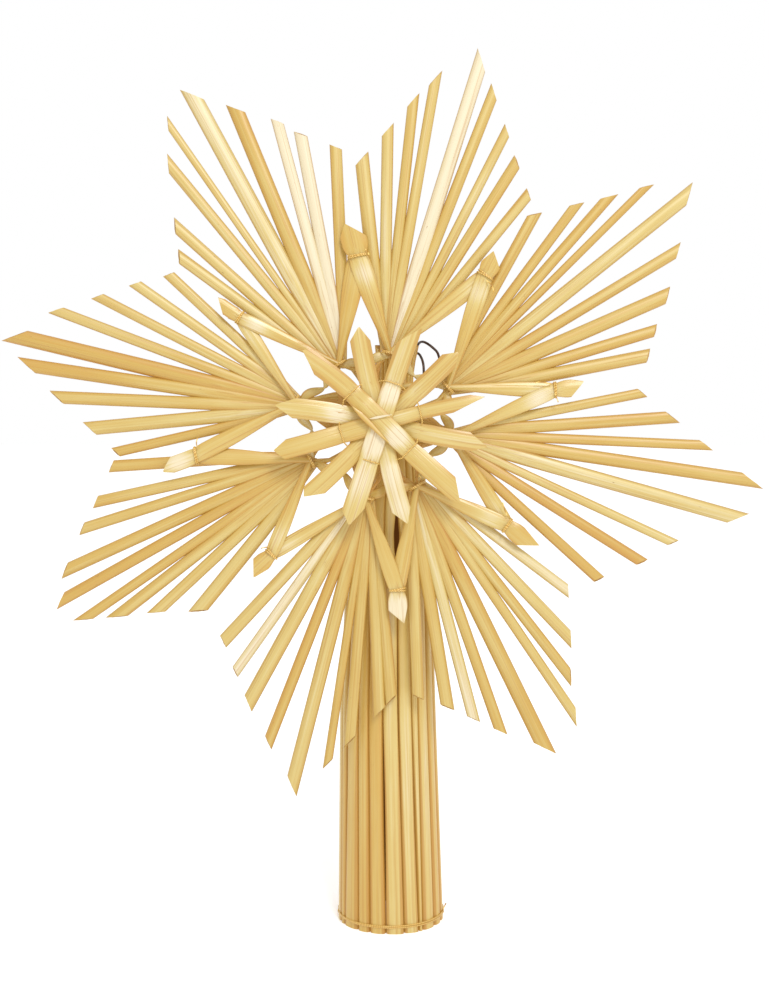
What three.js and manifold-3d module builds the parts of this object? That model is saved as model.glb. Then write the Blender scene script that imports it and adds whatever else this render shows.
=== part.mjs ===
// A straw star for the top of a Christmas tree, standing on a socket of straws.
// Eight fans of slant-cut straws are tied in a ring round a woven heart, neighbouring fans are
// bridged by pairs of wide straws, a rosette of six flat strips is tied over the middle, and a
// slim tube of straws behind the star slips over the tree's leader.
// Millimetres, +Z up. The star faces -Y, and the socket stands on Z = 0.
import * as THREE from 'three';
import { mergeVertices } from 'three/addons/utils/BufferGeometryUtils.js';
import Module from 'manifold-3d';

const wasm = await Module();
wasm.setup();

// ---- Driving dimensions ----------------------------------------------------------------------

const STAR_HEIGHT = 195.5; // the star's centre above the socket's foot
const STAR_FORWARD = 13.5; // the star's plane in front of the socket's axis
const STAR_SIDE = 5; // the star's centre left of the socket's axis
const STAR_LEAN = 3.2; // degrees that the star leans back, along the front of the socket
const AIR = 0.3; // between pieces that lie against each other

// Each fan: its tie, its longest point and the two corners where its slanting outline ends, as
// radius and direction from the star's centre, then the way to each straw's point from the tie
// and each straw's width, anticlockwise to clockwise. Directions in degrees, 0 is right, 90 up.
const FANS = [
  { tie: [26.1, 125.5], point: [156.1, 122.5], left: [102.4, 139.5], right: [109.5, 100],
    ways: [144, 138, 129, 124.5, 120, 113.5, 105.5, 101, 92.5],
    widths: [4.6, 4.6, 4.4, 3.0, 6.6, 6.0, 4.5, 5.0, 4.8] },
  { tie: [26.1, 80], point: [154.9, 76], left: [104.9, 92], right: [107.2, 57.5],
    ways: [96, 89, 83.5, 79.5, 74, 69.5, 63.5, 58, 50.5],
    widths: [5.6, 4.6, 4.2, 4.2, 5.6, 4.4, 3.9, 4.6, 4.2] },
  { tie: [29.5, 25], point: [155.9, 37.5], left: [103.1, 51.5], right: [109.4, 14.5],
    ways: [61.5, 53.5, 48.5, 44.5, 40, 32, 24.5, 17, 11],
    widths: [4.6, 3.9, 4.2, 3.1, 5.6, 4.6, 5.6, 4.6, 5.2] },
  { tie: [29, -13], point: [156, -11.5], left: [104.1, 5], right: [105.3, -35],
    ways: [11.5, 3.5, -3, -9.5, -14.5, -24.5, -32, -42.5],
    widths: [3.9, 4.8, 3.9, 5.2, 5.6, 3.5, 4.2, 4.2] },
  { tie: [29.4, -59.5], point: [150.4, -60], left: [99.8, -43], right: [107.8, -80.5],
    ways: [-36.5, -46.5, -52.5, -56.5, -62.5, -70, -75, -80.5, -88],
    widths: [4.2, 4.6, 4.2, 3.9, 6.0, 4.3, 4.4, 5.0, 4.8] },
  { tie: [30.4, -99], point: [145.8, -102.5], left: [108.8, -88.5], right: [105, -124],
    ways: [-84.5, -88, -95, -99, -103, -110.5, -118, -125.5, -133],
    widths: [4.8, 4.8, 4.4, 3.3, 5.4, 4.2, 5.6, 4.0, 4.9] },
  { tie: [30, -149], point: [147.8, -148.5], left: [102.7, -134.5], right: [106.3, -169],
    ways: [-129, -137, -142.5, -146, -149.5, -154.5, -162, -167.5, -176.5],
    widths: [5.6, 4.5, 4.8, 3.9, 4.5, 4.8, 4.2, 4.4, 4.6] },
  { tie: [32, 168.5], point: [150.6, 168], left: [103.4, 186], right: [101.7, 146.5],
    ways: [193.5, 185, 177, 170.5, 168, 160, 153, 145, 136.5],
    widths: [4.0, 5.4, 5.0, 5.3, 6.2, 4.2, 3.9, 4.2, 4.2] },
];
const PEAK_STRAW = 4; // the straw that reaches the longest point, counted from 0
const STRAW_HALF_DEPTH = 1.9;
const ROOT_PITCH = 0.75; // the crushed straws side by side under a tie
const ROOT_HALF_WIDTH = 3.4;
const ROOT_HALF_DEPTH = 2;
const ROOT_LENGTH = 4;
const ROOT_FLARE = 5.8; // half width where the straws come free of each other
const STEEPEST_CUT = 2.2; // length of a slanting cut in widths of its straw

// The ties that bridge fan 1 to fan 2, 2 to 3 and so on, round to fan 8 to 1: radius and
// direction, then how far the front and the back straw's points stand beyond the tie.
const BRIDGES = [
  { tie: [64, 97], front: 14, back: 8.5 },
  { tie: [69.5, 53], front: 9.5, back: 7.5 },
  { tie: [69.1, 9.5], front: 12, back: 7 },
  { tie: [63.7, -39.5], front: 14, back: 7.5 },
  { tie: [65.1, -83.5], front: 13.5, back: 8 },
  { tie: [64.7, -128.5], front: 12, back: 7 },
  { tie: [70.9, -169], front: 15, back: 8 },
  { tie: [65.8, 143.5], front: 12, back: 6.5 },
];
const BRIDGE_ROOT_HALF_WIDTH = 1.3;
const BRIDGE_TIE_HALF_WIDTH = 3.4;
const BRIDGE_HALF_DEPTH = 0.8;
const BRIDGE_START = 2; // beyond the fan's tie
const BRIDGE_SINK = 0.2; // how far the two straws are pressed into each other at their tie

const THREAD_HALF_BAND = 0.9; // a few turns side by side
const THREAD_HALF_THICKNESS = 0.45;

// The heart: inner straws from every tie are tied in pairs to their neighbours', and all cross at
// the centre.
const INNER_TIE_RADIUS = 14;
const INNER_START = 1.4; // inward of the fan's tie
const INNER_HALF_WIDTHS = [1.6, 2.3];
const INNER_HALF_DEPTHS = [1.9, 1.7];
const HUB_WAIST = 9; // where the crossing straws part again
const HUB_HALF_DEPTH = 4.3;
const LEAF_HALF_WIDTH = 2.2;
const LEAF_HALF_DEPTH = 0.8;
const LEAF_BOW = 3.4;

// The rosette: six flat strips from back to front, each with the reach and direction of its two
// ends. The last three are the upper ones, which the ring of thread holds down.
const STRIPS = [
  { name: 'rosette_strip_1', ends: [[40.5, -12.5], [40, 169.5]], halfWidth: 3.7 },
  { name: 'rosette_strip_2', ends: [[39.5, 41.5], [40, -134]], halfWidth: 3.6 },
  { name: 'rosette_strip_3', ends: [[37, 103.5], [39.5, -76.5]], halfWidth: 3.7 },
  { name: 'rosette_strip_4', ends: [[40, 12], [41.5, -163.5]], halfWidth: 3.3 },
  { name: 'rosette_strip_5', ends: [[38.5, 71], [40.5, -107]], halfWidth: 3.8 },
  { name: 'rosette_strip_6', ends: [[42, -43], [40, 139]], halfWidth: 4 },
];
const ROSETTE_DEPTH = 8.1; // the middle of the stack in front of the star's plane
const ROSETTE_SIDE = 0.9; // the rosette's centre right of the star's
const ROSETTE_DROP = 1.1; // and below it
const STRIP_PITCH = 0.95;
const STRIP_HALF_DEPTH = 0.36;
const STRIP_POINT = 6; // length of a strip's pointed end
const STACK_RADIUS = 8; // the strips lie stacked inside this radius
const THREAD_RADIUS = 15.5; // and are drawn into one plane by the thread at this one
const THREAD_PINCH = 0.8; // width left where the thread draws a strip in
const PLANE_STEP = 0.5; // upper strips lie this far before the plane, lower ones behind it
const RING_HALF_THICKNESS = 0.4;

// The socket: straws on end round an oval that narrows to a gathered neck behind the heart.
const SOCKET_STRAWS = 22;
const SOCKET_PROFILE = [ // height, half width and half depth of the oval, its shift to the right
  { z: 0, x: 18.7, y: 18.7, shift: 0, straw: 1.9 },
  { z: 83.5, x: 17.1, y: 15.6, shift: -1.2, straw: 1.8 },
  { z: 159.5, x: 14.6, y: 10.5, shift: -0.5, straw: 1.6 },
  { z: 210.5, x: 5.6, y: 5.2, shift: 1.4, straw: 1 },
  { z: 225, x: 7.6, y: 5.6, shift: 2.4, straw: 1.2 },
];
const FOOT_THREAD_HEIGHT = 2.5;
const FOOT_THREAD_HALF_THICKNESS = 0.5;
const HOOP_HEIGHTS = [17, 23];
const HOOP_THICKNESS = 0.9;
const WIRE_RADIUS = 0.45;

// ---- Materials -------------------------------------------------------------------------------

const STRAW_COLOUR = 0xdcb968;
const PALE_STRAW_COLOUR = 0xe6cb85;
const SOCKET_COLOUR = 0xe0c67a;
const THREAD_COLOUR = 0xc9973a;
const WIRE_COLOUR = 0x241d1a;

function straw(color) {
  return new THREE.MeshStandardMaterial({ color, roughness: 0.42, metalness: 0 });
}

function thread() {
  return new THREE.MeshStandardMaterial({ color: THREAD_COLOUR, roughness: 0.5, metalness: 0.2 });
}

function wire() {
  return new THREE.MeshStandardMaterial({ color: WIRE_COLOUR, roughness: 0.4, metalness: 0.8 });
}

// ---- Helpers ---------------------------------------------------------------------------------

const BACKWARD = new THREE.Vector3(0, 1, 0);
const UPWARD = new THREE.Vector3(0, 0, 1);
const radians = THREE.MathUtils.degToRad;

/** A point of the star's plane, by radius and direction, at a depth behind the plane. */
function polar([radius, direction], depth = 0) {
  const angle = radians(direction);
  return new THREE.Vector3(radius * Math.cos(angle), depth, radius * Math.sin(angle));
}

/** The clockwise side of a way across the star's plane, seen from the front. */
function clockwiseOf(way) {
  return BACKWARD.clone().cross(way).normalize();
}

/** Where the line from one point along a way meets the line through two others. */
function crossing(from, way, a, b) {
  const edge = b.clone().sub(a);
  const apart = a.clone().sub(from);
  const reach = (apart.x * edge.z - apart.z * edge.x) / (way.x * edge.z - way.z * edge.x);
  return from.clone().addScaledVector(way, reach);
}

function joined(geometry) {
  geometry.deleteAttribute('normal');
  geometry.deleteAttribute('uv');
  return mergeVertices(geometry, 1e-4);
}

function solid(geometry) {
  const merged = joined(geometry);
  return new wasm.Manifold(new wasm.Mesh({
    numProp: 3,
    vertProperties: new Float32Array(merged.attributes.position.array),
    triVerts: new Uint32Array(merged.index.array),
  }));
}

function geometryOf(manifold) {
  const mesh = manifold.getMesh();
  const geometry = new THREE.BufferGeometry();
  geometry.setAttribute('position', new THREE.BufferAttribute(mesh.vertProperties, 3));
  geometry.setIndex(new THREE.BufferAttribute(mesh.triVerts, 1));
  return geometry;
}

function united(geometries) {
  const whole = geometries.map(solid).reduce((sum, next) => sum.add(next));
  return geometryOf(whole);
}

function mesh(name, geometry, material) {
  const part = new THREE.Mesh(geometry, material);
  part.name = name;
  return part;
}

/**
 * A bar along a run of stations. Each station gives its middle, its half width to the side and
 * its half depth; `cut` lengthens the far end by an amount that varies from side (-1) to side (1)
 * and `nearCut` does the same at the near end. `back` is the way that depth is measured in.
 * Sections stand square to the bar's own run, or to `square` where that is given.
 */
function bar({
  stations, sides = 6, back = BACKWARD, square = null, cut = () => 0, nearCut = () => 0,
}) {
  const last = stations.length - 1;
  const geometry = new THREE.CylinderGeometry(1, 1, 1, sides, last);
  const points = geometry.attributes.position;
  const place = new THREE.Vector3();
  for (let i = 0; i < points.count; i += 1) {
    const side = points.getZ(i);
    const depth = points.getX(i);
    const index = Math.round((points.getY(i) + 0.5) * last);
    const here = stations[index];
    const before = stations[Math.max(index - 1, 0)].middle;
    const after = stations[Math.min(index + 1, last)].middle;
    const way = square ?? after.clone().sub(before).normalize();
    const across = back.clone().cross(way).normalize();
    const inward = way.clone().cross(across);
    place.copy(here.middle);
    place.addScaledVector(across, side * here.halfWidth);
    place.addScaledVector(inward, depth * here.halfDepth);
    if (index === last) {
      place.addScaledVector(way, cut(side));
    }
    if (index === 0) {
      place.addScaledVector(way, -nearCut(side));
    }
    points.setXYZ(i, place.x, place.y, place.z);
  }
  return geometry;
}

/** A closed ring through a loop of places, its section facing away from `centre`. */
function ring({ places, centre, sides = 4, halfBand, halfThickness }) {
  const count = places.length;
  const geometry = new THREE.TorusGeometry(2, 1, sides, count);
  const points = geometry.attributes.position;
  const place = new THREE.Vector3();
  for (let i = 0; i < points.count; i += 1) {
    const turn = Math.atan2(points.getY(i), points.getX(i)) / (2 * Math.PI);
    const index = (Math.round(turn * count) + count) % count;
    const out = Math.hypot(points.getX(i), points.getY(i)) - 2;
    const tangent = places[(index + 1) % count].clone().sub(places[(index + count - 1) % count]);
    const facing = places[index].clone().sub(centre);
    const band = facing.cross(tangent).normalize();
    const outward = tangent.clone().cross(band).normalize();
    place.copy(places[index]);
    place.addScaledVector(outward, out * halfThickness);
    place.addScaledVector(band, points.getZ(i) * halfBand);
    points.setXYZ(i, place.x, place.y, place.z);
  }
  return geometry;
}

/** Evenly spaced turns of a circle, in radians. */
function turns(count) {
  return Array.from({ length: count }, (unused, i) => (i / count) * 2 * Math.PI);
}

/** A band of thread round a flat bundle that runs along `way` through `centre`. */
function threadBand(centre, way, halfWidth, halfDepth) {
  const across = clockwiseOf(way);
  const places = turns(8).map((angle) => centre.clone()
    .addScaledVector(across, Math.cos(angle) * (halfWidth + THREAD_HALF_THICKNESS))
    .addScaledVector(BACKWARD, Math.sin(angle) * (halfDepth + THREAD_HALF_THICKNESS)));
  return ring({
    places, centre, halfBand: THREAD_HALF_BAND, halfThickness: THREAD_HALF_THICKNESS,
  });
}

// ---- Fans ------------------------------------------------------------------------------------

function fanAxis(fan) {
  return polar(fan.point).sub(polar(fan.tie)).normalize();
}

/** Where a fan's straw ends: the middle of its end, and which side of its slanting cut is long. */
function strawEnd(fan, index) {
  const peak = polar(fan.point);
  const way = polar([1, fan.ways[index]]);
  const beforePeak = index < PEAK_STRAW && fan.ways[index] > fan.ways[PEAK_STRAW];
  const corner = polar(beforePeak ? fan.left : fan.right);
  const longSide = beforePeak ? 1 : -1;
  const tip = crossing(polar(fan.tie), way, peak, corner);
  const middle = tip.addScaledVector(clockwiseOf(way), -longSide * fan.widths[index] / 2);
  const slope = Math.abs(way.dot(corner.sub(peak).normalize()));
  const steepness = Math.min(slope / Math.sqrt(1 - slope * slope), STEEPEST_CUT);
  return { middle, longSide, steepness };
}

/** One straw of a fan: narrow under the tie, full width outside, its end cut along the outline. */
function fanStraw(fan, index) {
  const tie = polar(fan.tie);
  const axis = fanAxis(fan);
  const halfWidth = fan.widths[index] / 2;
  const { middle: end, longSide, steepness } = strawEnd(fan, index);

  const middlePlace = (fan.ways.length - 1) / 2;
  const root = tie.clone()
    .addScaledVector(clockwiseOf(axis), (index - middlePlace) * ROOT_PITCH)
    .addScaledVector(axis, AIR);
  const run = end.clone().sub(root);
  const gaps = [index - 1, index + 1]
    .filter((other) => other in fan.ways)
    .map((other) => strawEnd(fan, other).middle.sub(tie).angleTo(end.clone().sub(tie)));
  const spread = 0.93 * Math.tan(Math.min(...gaps) / 2);
  const rootHalfWidth = ROOT_PITCH * 0.4;
  const fullAt = Math.min((halfWidth - rootHalfWidth) / spread, 0.9 * run.length());
  return bar({
    stations: [
      { middle: root, halfWidth: rootHalfWidth, halfDepth: ROOT_HALF_DEPTH / 2 },
      {
        middle: root.clone().addScaledVector(run.normalize(), fullAt),
        halfWidth,
        halfDepth: STRAW_HALF_DEPTH,
      },
      { middle: end, halfWidth, halfDepth: STRAW_HALF_DEPTH },
    ],
    cut: (side) => -halfWidth * steepness * (1 - longSide * side),
  });
}

/** The crushed straws where they pass under the fan's tie. */
function fanRoot(fan) {
  const axis = fanAxis(fan);
  const at = (reach) => polar(fan.tie).addScaledVector(axis, reach);
  return bar({
    stations: [
      { middle: at(AIR / 2), halfWidth: ROOT_HALF_WIDTH, halfDepth: ROOT_HALF_DEPTH },
      { middle: at(ROOT_LENGTH), halfWidth: ROOT_FLARE, halfDepth: ROOT_HALF_DEPTH - AIR },
    ],
  });
}

function fanMesh(fan, number) {
  const straws = fan.ways.map((way, index) => fanStraw(fan, index));
  return mesh(`fan_${number}`, united([fanRoot(fan), ...straws]), straw(STRAW_COLOUR));
}

function fanTie(fan, number) {
  const band = threadBand(
    polar(fan.tie), fanAxis(fan), ROOT_HALF_WIDTH + AIR, ROOT_HALF_DEPTH + AIR,
  );
  return mesh(`fan_tie_${number}`, joined(band), thread());
}

// ---- Bridges ---------------------------------------------------------------------------------

/** One wide straw from a fan's tie to the bridge's tie and past it, ending in a point. */
function bridgeStraw(fan, bridge, beyond, forward) {
  const from = polar(fan.tie);
  const to = polar(bridge.tie);
  const way = to.clone().sub(from).normalize();
  const length = to.distanceTo(from);
  const rest = ROOT_HALF_DEPTH + AIR + BRIDGE_HALF_DEPTH;
  const station = (reach, halfWidth, depth) => ({
    middle: from.clone().addScaledVector(way, reach).setY(-depth),
    halfWidth,
    halfDepth: BRIDGE_HALF_DEPTH,
  });
  return bar({
    sides: 4,
    stations: [
      station(BRIDGE_START, BRIDGE_ROOT_HALF_WIDTH, rest),
      station(length * 0.8, BRIDGE_TIE_HALF_WIDTH, rest + forward),
      station(length, BRIDGE_TIE_HALF_WIDTH * 0.92, rest + forward),
      station(length + beyond * 0.5, BRIDGE_TIE_HALF_WIDTH * 1.1, rest + forward),
    ],
    cut: (side) => beyond * (0.5 - 0.55 * Math.abs(side)),
  });
}

/** The thread drawn tight round both straws. */
function bridgeTie(centre, way) {
  const ends = [-THREAD_HALF_BAND, THREAD_HALF_BAND];
  return bar({
    sides: 4,
    stations: ends.map((reach) => ({
      middle: centre.clone().addScaledVector(way, reach),
      halfWidth: BRIDGE_TIE_HALF_WIDTH + THREAD_HALF_THICKNESS,
      halfDepth: 2 * BRIDGE_HALF_DEPTH + THREAD_HALF_THICKNESS,
    })),
  });
}

function bridgeMesh(bridge, index) {
  const fan = FANS[index];
  const next = FANS[(index + 1) % FANS.length];
  const lift = 2 * BRIDGE_HALF_DEPTH - BRIDGE_SINK;
  const depth = ROOT_HALF_DEPTH + AIR + BRIDGE_HALF_DEPTH + lift / 2;
  const centre = polar(bridge.tie).setY(-depth);
  const number = `${index + 1}_${((index + 1) % FANS.length) + 1}`;
  const body = united([
    bridgeStraw(fan, bridge, bridge.back, 0),
    bridgeStraw(next, bridge, bridge.front, lift),
    bridgeTie(centre, polar(bridge.tie).normalize()),
  ]);
  return mesh(`bridge_${number}`, body, straw(PALE_STRAW_COLOUR));
}

// ---- Heart -----------------------------------------------------------------------------------

/** The direction halfway between two neighbouring fans' ties, as the inner ties stand. */
function innerTie(index) {
  const here = polar([1, FANS[index % FANS.length].tie[1]]);
  const next = polar([1, FANS[(index + 1) % FANS.length].tie[1]]);
  return here.add(next).normalize().multiplyScalar(INNER_TIE_RADIUS);
}

/** Straws from a fan's tie to one of its inner ties. */
function innerStraws(fan, inner, side) {
  const axis = polar(fan.tie).normalize();
  const start = polar(fan.tie)
    .addScaledVector(clockwiseOf(axis), side * INNER_HALF_WIDTHS[0])
    .addScaledVector(axis, -INNER_START);
  return bar({
    sides: 4,
    stations: [start, inner].map((middle, i) => ({
      middle, halfWidth: INNER_HALF_WIDTHS[i], halfDepth: INNER_HALF_DEPTHS[i],
    })),
  });
}

/** The straws' crossing: an eight-armed star, thickest in the middle, an arm to each inner tie. */
function hub() {
  const corners = 2 * FANS.length;
  const geometry = new THREE.CylinderGeometry(1, 1, 2, corners, 1);
  const points = geometry.attributes.position;
  for (let i = 0; i < points.count; i += 1) {
    const front = Math.sign(points.getY(i));
    const turn = Math.atan2(points.getZ(i), points.getX(i)) / (2 * Math.PI);
    const corner = (corners - Math.round(turn * corners)) % corners;
    if (Math.hypot(points.getX(i), points.getZ(i)) < 0.5) {
      points.setXYZ(i, 0, front * HUB_HALF_DEPTH, 0);
    } else {
      const arm = innerTie(Math.floor(corner / 2));
      const beside = innerTie(Math.floor(corner / 2) + 1);
      const waist = arm.clone().add(beside).normalize().multiplyScalar(HUB_WAIST);
      const rim = corner % 2 === 0 ? arm.multiplyScalar(1.1) : waist;
      points.setXYZ(i, rim.x, front * INNER_HALF_DEPTHS[1], rim.z);
    }
  }
  return geometry;
}

/** A wide straw that bows out like a leaf beside the inner straws. */
function leaf(fan, inner, side) {
  const start = polar(fan.tie).multiplyScalar(0.93);
  const chord = inner.clone().sub(start);
  const bow = clockwiseOf(start).multiplyScalar(side * LEAF_BOW);
  const widths = [0.25, 1, 0.5];
  const bows = [0, 1, 0.4];
  return bar({
    sides: 4,
    stations: widths.map((width, i) => ({
      middle: start.clone()
        .addScaledVector(chord, i / (widths.length - 1))
        .addScaledVector(bow, bows[i]),
      halfWidth: LEAF_HALF_WIDTH * width,
      halfDepth: LEAF_HALF_DEPTH,
    })),
  });
}

function heartMesh() {
  const bars = [hub()];
  FANS.forEach((fan, index) => {
    const clockwise = innerTie(index);
    const anticlockwise = innerTie(index + FANS.length - 1);
    bars.push(innerStraws(fan, clockwise, 1), innerStraws(fan, anticlockwise, -1));
    bars.push(leaf(fan, clockwise, 1), leaf(fan, anticlockwise, -1));
  });
  return mesh('heart', united(bars), straw(STRAW_COLOUR));
}

// ---- Rosette ---------------------------------------------------------------------------------

/** From 0 inside the stacked middle to 1 where the thread has drawn the strips into a plane. */
function drawnIn(radius) {
  return THREE.MathUtils.smoothstep(radius, STACK_RADIUS, THREAD_RADIUS);
}

function stripDepth(order, radius) {
  const stacked = (order - (STRIPS.length - 1) / 2) * STRIP_PITCH;
  const inPlane = order < STRIPS.length / 2 ? -PLANE_STEP : PLANE_STEP;
  return -ROSETTE_DEPTH - THREE.MathUtils.lerp(stacked, inPlane, drawnIn(radius));
}

/** A flattened straw across the rosette, pinched by the thread and pointed at both ends. */
function stripMesh({ name, ends, halfWidth }, order) {
  const [far, near] = ends;
  const station = ([reach, direction], share, width) => {
    const radius = reach * share;
    return {
      middle: polar([radius, direction], stripDepth(order, radius)),
      halfWidth: halfWidth * width,
      halfDepth: STRIP_HALF_DEPTH,
    };
  };
  const arm = (end) => [
    station(end, (end[0] - STRIP_POINT) / end[0], 1),
    station(end, THREAD_RADIUS / end[0], THREAD_PINCH),
    station(end, STACK_RADIUS / end[0], 0.95),
  ];
  const point = (side) => STRIP_POINT * (1 - 1.3 * Math.abs(side - 0.2));
  const strip = bar({
    stations: [...arm(near), ...arm(far).reverse()],
    cut: point,
    nearCut: (side) => point(-side),
  });
  return mesh(name, joined(strip), straw(PALE_STRAW_COLOUR));
}

/** The ring of thread: before the upper strips, behind the lower ones, crossing in the gaps. */
function rosetteThread() {
  const lift = PLANE_STEP + STRIP_HALF_DEPTH + AIR + RING_HALF_THICKNESS;
  const crossings = STRIPS.flatMap(({ ends, halfWidth }, order) => ends.map(([, direction]) => ({
    direction: (direction + 360) % 360,
    reach: THREE.MathUtils.radToDeg(Math.asin((halfWidth * THREAD_PINCH) / THREAD_RADIUS)),
    depth: order < STRIPS.length / 2 ? lift : -lift,
  })));
  crossings.sort((a, b) => a.direction - b.direction);
  const places = crossings.flatMap(({ direction, reach, depth }) => [
    polar([THREAD_RADIUS, direction - reach], depth - ROSETTE_DEPTH),
    polar([THREAD_RADIUS, direction + reach], depth - ROSETTE_DEPTH),
  ]);
  const thick = ring({
    places,
    centre: new THREE.Vector3(0, -ROSETTE_DEPTH, 0),
    halfBand: RING_HALF_THICKNESS,
    halfThickness: RING_HALF_THICKNESS,
  });
  return mesh('rosette_thread', joined(thick), thread());
}

// ---- Socket ----------------------------------------------------------------------------------

function ovalPoint(level, turn) {
  const angle = turn * 2 * Math.PI;
  return new THREE.Vector3(
    level.shift + level.x * Math.cos(angle), level.y * Math.sin(angle), level.z,
  );
}

/** One straw of the socket, as wide at each level as its share of the oval allows. */
function socketStraw(index) {
  const share = (offset) => (index + 0.5 + offset) / SOCKET_STRAWS;
  const outward = ovalPoint({ x: 1, y: 1, z: 0, shift: 0 }, share(0));
  const stations = SOCKET_PROFILE.map((level) => {
    const middle = ovalPoint(level, share(0));
    const sides = [ovalPoint(level, share(-1)), ovalPoint(level, share(1))];
    const room = Math.min(...sides.map((point) => point.distanceTo(middle)));
    return { middle, halfWidth: (room - AIR) / 2, halfDepth: level.straw };
  });
  const number = String(index + 1).padStart(2, '0');
  const geometry = bar({ stations, back: outward, square: UPWARD });
  return mesh(`socket_straw_${number}`, joined(geometry), straw(SOCKET_COLOUR));
}

/** A ring of thread round the foot of the socket, with a corner over each straw. */
function footThread() {
  const [foot] = SOCKET_PROFILE;
  const radius = foot.x + foot.straw + AIR + FOOT_THREAD_HALF_THICKNESS;
  const places = turns(SOCKET_STRAWS).map((angle) => new THREE.Vector3(
    radius * Math.cos(angle), radius * Math.sin(angle), FOOT_THREAD_HEIGHT,
  ));
  const thick = ring({
    places,
    centre: new THREE.Vector3(0, 0, FOOT_THREAD_HEIGHT),
    halfBand: THREAD_HALF_BAND,
    halfThickness: FOOT_THREAD_HALF_THICKNESS,
  });
  return mesh('socket_thread', joined(thick), thread());
}

/** The flat hoop inside the foot that keeps the straws apart. */
function innerHoop() {
  const [foot] = SOCKET_PROFILE;
  const outer = foot.x - foot.straw - AIR - 0.5;
  const inner = outer - HOOP_THICKNESS;
  const [low, high] = HOOP_HEIGHTS;
  const profile = [[inner, low], [outer, low], [outer, high], [inner, high], [inner, low]]
    .map(([radius, height]) => new THREE.Vector2(radius, height));
  const geometry = new THREE.LatheGeometry(profile, 24);
  geometry.rotateX(Math.PI / 2);
  return mesh('socket_hoop', joined(geometry), straw(SOCKET_COLOUR));
}

/** Soft iron wire: once round the neck of the socket, and out to the right in two loops. */
function bindingWire() {
  const neck = SOCKET_PROFILE[3];
  const clear = neck.straw + AIR + WIRE_RADIUS + 0.3;
  const around = [0.02, 0.15, 0.3, 0.45, 0.6, 0.75, 0.88].map((turn, i) => {
    const x = neck.x + clear;
    const y = neck.y + clear;
    return ovalPoint({ x, y, z: neck.z + i * 0.35, shift: neck.shift }, turn);
  });
  const loops = [
    [13.4, -3, 214], [18.6, -2, 217.5], [18.6, -2, 221.3], [16.4, -2, 224], [13.2, -0.5, 226.2],
    [11.2, 4, 226], [10, 5.6, 222.5], [11.8, 3.4, 220.4], [12.9, 0, 217.2], [12.6, -1.5, 213],
  ].map((place) => new THREE.Vector3(...place));
  const route = new THREE.CatmullRomCurve3([...around, ...loops]);
  const section = new THREE.Shape();
  section.absarc(0, 0, WIRE_RADIUS, 0, 2 * Math.PI);
  const geometry = new THREE.ExtrudeGeometry(section, {
    extrudePath: route, steps: 26, curveSegments: 2, bevelEnabled: false,
  });
  return mesh('binding_wire', joined(geometry), wire());
}

// ---- Assembly --------------------------------------------------------------------------------

const star = new THREE.Group();
FANS.forEach((fan, index) => star.add(fanMesh(fan, index + 1), fanTie(fan, index + 1)));
BRIDGES.forEach((bridge, index) => star.add(bridgeMesh(bridge, index)));
star.add(heartMesh());
const rosette = new THREE.Group();
STRIPS.forEach((strip, order) => rosette.add(stripMesh(strip, order)));
rosette.add(rosetteThread());
rosette.position.set(ROSETTE_SIDE, 0, -ROSETTE_DROP);
star.add(rosette);
star.position.set(-STAR_SIDE, -STAR_FORWARD, STAR_HEIGHT);
star.rotation.x = -radians(STAR_LEAN);

const socket = new THREE.Group();
for (let index = 0; index < SOCKET_STRAWS; index += 1) {
  socket.add(socketStraw(index));
}
socket.add(footThread(), innerHoop(), bindingWire());

// The origin is under the middle of the whole ornament.
const ornament = new THREE.Group();
ornament.add(star, socket);
ornament.updateMatrixWorld(true);
const box = new THREE.Box3().setFromObject(ornament, true);
const middle = box.getCenter(new THREE.Vector3());
ornament.position.set(-middle.x, -middle.y, -box.min.z);

export default ornament;
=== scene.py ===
# %% [markdown]
# # A straw star for the top of a Christmas tree
# Eight fans of slant-cut straws are tied in a ring round a woven heart. Two wide straws bridge
# each gap between the fans, a rosette of six flattened straws is tied over the middle, and a slim
# tube of straws behind the star slips over the tip of the tree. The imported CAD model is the
# frame: every straw here is laid where a solid says that it is, with its real wall, its cut and
# its grain.

import math
import random

import bpy
from mathutils import Matrix, Vector


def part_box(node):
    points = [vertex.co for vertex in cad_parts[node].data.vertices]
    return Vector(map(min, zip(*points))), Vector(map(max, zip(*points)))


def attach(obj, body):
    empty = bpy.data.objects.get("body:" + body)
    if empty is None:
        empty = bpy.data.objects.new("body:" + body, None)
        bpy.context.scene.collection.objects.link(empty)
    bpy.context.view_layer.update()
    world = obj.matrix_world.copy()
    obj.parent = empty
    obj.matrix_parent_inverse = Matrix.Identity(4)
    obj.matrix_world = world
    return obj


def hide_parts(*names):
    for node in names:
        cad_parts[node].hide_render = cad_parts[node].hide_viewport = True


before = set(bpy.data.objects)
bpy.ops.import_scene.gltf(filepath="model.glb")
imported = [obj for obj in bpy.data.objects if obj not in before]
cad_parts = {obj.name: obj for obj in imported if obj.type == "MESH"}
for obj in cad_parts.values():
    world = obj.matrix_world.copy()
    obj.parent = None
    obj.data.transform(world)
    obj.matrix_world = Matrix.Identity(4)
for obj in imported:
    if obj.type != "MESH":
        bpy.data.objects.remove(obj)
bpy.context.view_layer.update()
bpy.ops.object.select_all(action="DESELECT")

# %% [markdown]
# ## Two places to work in
# A maker lays a star flat on a table and only then ties it to its socket. The same is done here.
# The star is built in millimetres round its own centre, X to the right, Y away from the viewer
# and Z up, and one matrix then leans it back and sets it before the socket. The rosette sits a
# little off the star's centre, as it was tied, and the socket is built round its own axis. The
# hoop inside the foot shows where that axis is.

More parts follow.
